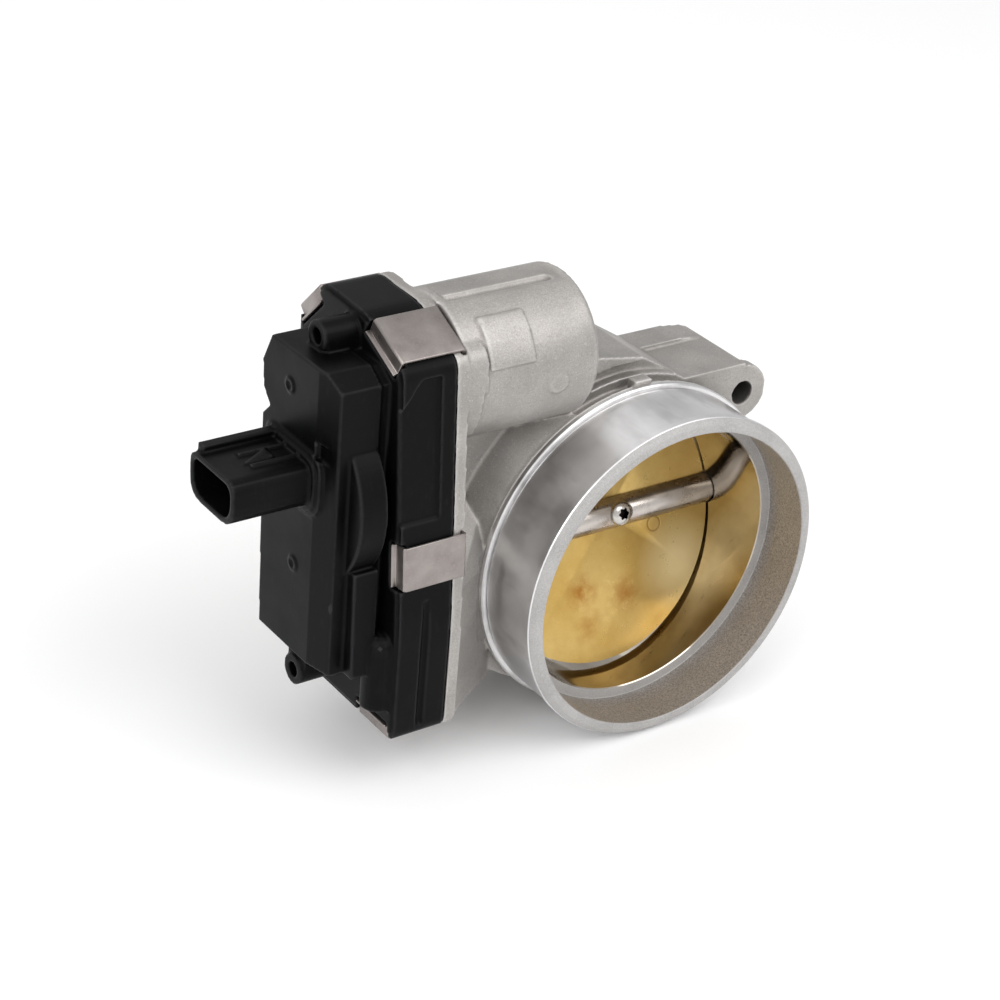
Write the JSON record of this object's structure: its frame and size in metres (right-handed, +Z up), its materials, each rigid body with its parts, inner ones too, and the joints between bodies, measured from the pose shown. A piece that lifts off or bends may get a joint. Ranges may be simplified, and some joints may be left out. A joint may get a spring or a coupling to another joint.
{
  "type": "electronic throttle body",
  "caption": "Electronic throttle body: cast housing with round inlet and bolt ears, clipped plastic gear cover with connector, throttle plate on a cross shaft.",
  "frame": {"origin": "centre of the bore on the manifold mounting face", "axes": "+Y along the bore towards the manifold (air enters from -Y), +X along the throttle shaft away from the gear cover, +Z up on the motor side"},
  "size_m": [0.184, 0.071, 0.1386],
  "materials": {
    "cast_aluminium": "as-cast, lightly bead blasted, with turned inlet tube, bore and ledge",
    "black_plastic": "satin glass-filled nylon",
    "spring_steel": "plated spring steel strip",
    "shaft_steel": "ground steel",
    "brass_plate": "brass with heat stains and a bright bevelled edge",
    "zinc_steel": "zinc plated steel",
    "tinned_copper": "tinned copper blades",
    "gear_plastic": "natural moulded gear plastic",
    "rubber": "moulded rubber",
    "circuit_board": "green solder mask over fibreglass",
    "ferrite": "sintered magnet, dark and dull",
    "spring_wire": "drawn spring wire",
    "bronze": "sintered bronze"
  },
  "bodies": {
    "housing": {"throttle_housing": "cast_aluminium", "gear_cover": "black_plastic", "cover_seal": "rubber", "cover_clip_top_front": "spring_steel", "cover_clip_top_back": "spring_steel", "cover_clip_front": "spring_steel", "cover_clip_bottom": "spring_steel", "cover_clip_back_upper": "spring_steel", "cover_clip_back_lower": "spring_steel", "connector_pin_1": "tinned_copper", "connector_pin_2": "tinned_copper", "connector_pin_3": "tinned_copper", "connector_pin_4": "tinned_copper", "connector_pin_5": "tinned_copper", "connector_pin_6": "tinned_copper", "sensor_board": "circuit_board", "sensor_chip": "ferrite", "motor_can": "zinc_steel", "motor_end_plate": "zinc_steel", "motor_magnet_front": "ferrite", "motor_magnet_back": "ferrite", "motor_screw_1": "zinc_steel", "motor_screw_2": "zinc_steel", "idler_pin": "shaft_steel", "return_spring": "spring_wire", "shaft_bearing_left": "zinc_steel", "shaft_bearing_right": "zinc_steel", "shaft_seal": "rubber", "shaft_end_plug": "zinc_steel", "closed_stop": "shaft_steel"},
    "throttle": {"throttle_shaft": "shaft_steel", "throttle_plate": "brass_plate", "plate_screw_1": "zinc_steel", "plate_screw_2": "zinc_steel", "sector_gear": "gear_plastic", "sensor_magnet": "ferrite"},
    "idler": {"idler_gear": "gear_plastic"},
    "motor_rotor_unit": {"motor_rotor": "shaft_steel", "motor_pinion": "bronze"}
  },
  "joints": [
    {"name": "throttle_turn", "type": "hinge", "parent": "housing", "child": "throttle", "pos_m": [0, -0.0192, 0], "axis": [-1, 0, 0], "range_deg": [-5, 69], "stiffness_Nm_per_rad": 0.05},
    {"name": "idler_turn", "type": "hinge", "parent": "housing", "child": "idler", "pos_m": [0, -0.01861, 0.03599], "axis": [-1, 0, 0], "range_deg": [-139, 11]},
    {"name": "motor_turn", "type": "hinge", "parent": "housing", "child": "motor_rotor_unit", "pos_m": [0, -0.022, 0.0654], "axis": [-1, 0, 0], "range_deg": [-40, 542]}
  ],
  "couplings": [
    {"joint": "idler_turn", "follows": "throttle_turn", "ratio": -2},
    {"joint": "motor_turn", "follows": "throttle_turn", "ratio": 7.8333}
  ]
}
